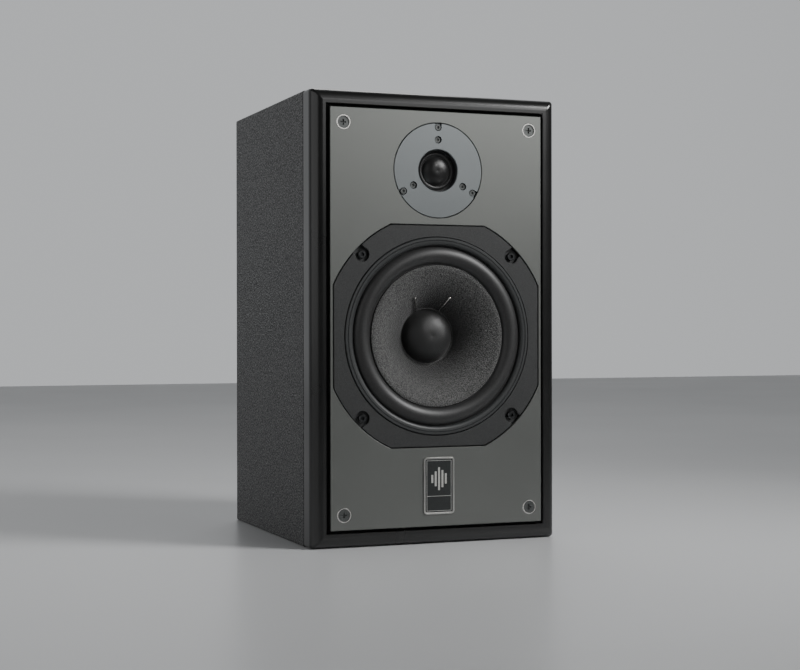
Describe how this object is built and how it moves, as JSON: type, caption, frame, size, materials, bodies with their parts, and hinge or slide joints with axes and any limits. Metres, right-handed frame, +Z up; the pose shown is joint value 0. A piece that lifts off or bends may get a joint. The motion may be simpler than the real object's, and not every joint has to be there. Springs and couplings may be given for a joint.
{
  "type": "bookshelf speaker",
  "caption": "Closed-box two-way speaker: tall cabinet with rounded front frame, metal front panel, dome tweeter over a large cone woofer, and screw-down binding posts behind.",
  "frame": {"origin": "middle of the cabinet's base, half way between the front frame's face and the back", "axes": "+X to the right seen from the front, front faces -Y, +Z up"},
  "size_m": [0.232, 0.2676, 0.396],
  "materials": {
    "case_paint": "fine textured black paint on fibreboard",
    "frame_lacquer": "satin black lacquer",
    "board": "raw fibreboard",
    "panel_metal": "satin graphite sheet metal",
    "face_metal": "satin graphite",
    "chassis_coat": "black powder coat on die-cast alloy",
    "trim_rubber": "matte black rubber",
    "black_steel": "black oxide",
    "bright_metal": "bright plated",
    "bare_steel": "zinc plated",
    "ferrite": "sintered ferrite",
    "cone_fibre": "matte doped fibre",
    "cap_cloth": "doped woven cloth",
    "dome_silk": "doped silk",
    "spider_cloth": "resin-treated cloth",
    "coil_former": "brown film",
    "copper": "enamelled copper",
    "tinned": "tinned copper",
    "gasket_foam": "closed-cell foam",
    "foam_grey": "open-cell acoustic foam",
    "plate_alloy": "black anodised",
    "black_nylon": "moulded",
    "red_nylon": "moulded",
    "knob_red": "moulded, gloss",
    "knob_black": "moulded, gloss",
    "gilt": "gold plated",
    "circuit_board": "solder mask",
    "capacitor_film": "wrapped film",
    "cement": "cast cement",
    "wire_red": "insulation",
    "wire_black": "insulation"
  },
  "bodies": {
    "cabinet": {"side_panel_left": "case_paint", "side_panel_right": "case_paint", "top_panel": "case_paint", "bottom_panel": "case_paint", "rear_panel": "case_paint", "baffle_board": "board", "front_frame": "frame_lacquer", "front_panel": "panel_metal", "front_panel_screws": "black_steel", "front_screw_cups": "bright_metal", "badge_plate": "bright_metal", "acoustic_foam": "foam_grey", "tweeter_faceplate": "face_metal", "tweeter_motor_screws": "black_steel", "tweeter_fixing_screws": "black_steel", "tweeter_gasket": "gasket_foam", "tweeter_surround": "dome_silk", "tweeter_front_plate": "bare_steel", "tweeter_magnet": "ferrite", "tweeter_yoke": "bare_steel", "tweeter_tags": "black_nylon", "woofer_chassis": "chassis_coat", "woofer_gasket": "gasket_foam", "woofer_screws": "black_steel", "woofer_trim_ring": "trim_rubber", "woofer_front_plate": "bare_steel", "woofer_magnet": "ferrite", "woofer_yoke": "bare_steel", "woofer_surround": "trim_rubber", "woofer_spider": "spider_cloth", "woofer_tags": "tinned", "woofer_tinsel_leads": "tinned", "terminal_plate": "plate_alloy", "terminal_plate_screws": "black_steel", "post_insulators": "black_nylon", "post_stems": "gilt", "post_nuts": "gilt", "post_solder_tags": "gilt", "crossover_board": "circuit_board", "board_standoffs": "black_nylon", "board_screws": "bare_steel", "crossover_inductors": "copper", "crossover_capacitors": "capacitor_film", "crossover_resistors": "cement", "hookup_wires_red": "wire_red", "hookup_wires_black": "wire_black"},
    "woofer_diaphragm": {"woofer_cone": "cone_fibre", "woofer_dust_cap": "cap_cloth", "woofer_coil_former": "coil_former", "woofer_coil": "copper", "coil_leads": "tinned"},
    "tweeter_diaphragm": {"tweeter_dome": "dome_silk", "tweeter_former": "coil_former", "tweeter_coil": "copper"},
    "clamp_red": {"post_washer_red": "gilt"},
    "clamp_black": {"post_washer_black": "gilt"},
    "knob_red": {"post_knob_red": "knob_red"},
    "knob_black": {"post_knob_black": "knob_black"}
  },
  "joints": [
    {"name": "woofer_excursion", "type": "slide", "parent": "cabinet", "child": "woofer_diaphragm", "axis": [0, -1, 0], "range_m": [-0.006, 0.006], "stiffness_N_per_m": 1200, "deforming": ["woofer_surround", "woofer_spider", "woofer_tinsel_leads"]},
    {"name": "tweeter_excursion", "type": "slide", "parent": "cabinet", "child": "tweeter_diaphragm", "axis": [0, -1, 0], "range_m": [-0.0004, 0.0004], "stiffness_N_per_m": 2000, "deforming": ["tweeter_surround"]},
    {"name": "clamp_red_travel", "type": "slide", "parent": "cabinet", "child": "clamp_red", "axis": [0, 1, 0], "range_m": [0, 0.005]},
    {"name": "knob_red_turn", "type": "hinge", "parent": "clamp_red", "child": "knob_red", "pos_m": [-0.00953, 0.13, 0.084], "axis": [0, 1, 0], "range_deg": [0, 1440]},
    {"name": "clamp_black_travel", "type": "slide", "parent": "cabinet", "child": "clamp_black", "axis": [0, 1, 0], "range_m": [0, 0.005]},
    {"name": "knob_black_turn", "type": "hinge", "parent": "clamp_black", "child": "knob_black", "pos_m": [0.00953, 0.13, 0.084], "axis": [0, 1, 0], "range_deg": [0, 1440]}
  ],
  "couplings": [
    {"joint": "knob_red_turn", "follows": "clamp_red_travel", "rad_per_m": 5026.5},
    {"joint": "knob_black_turn", "follows": "clamp_black_travel", "rad_per_m": 5026.5}
  ]
}
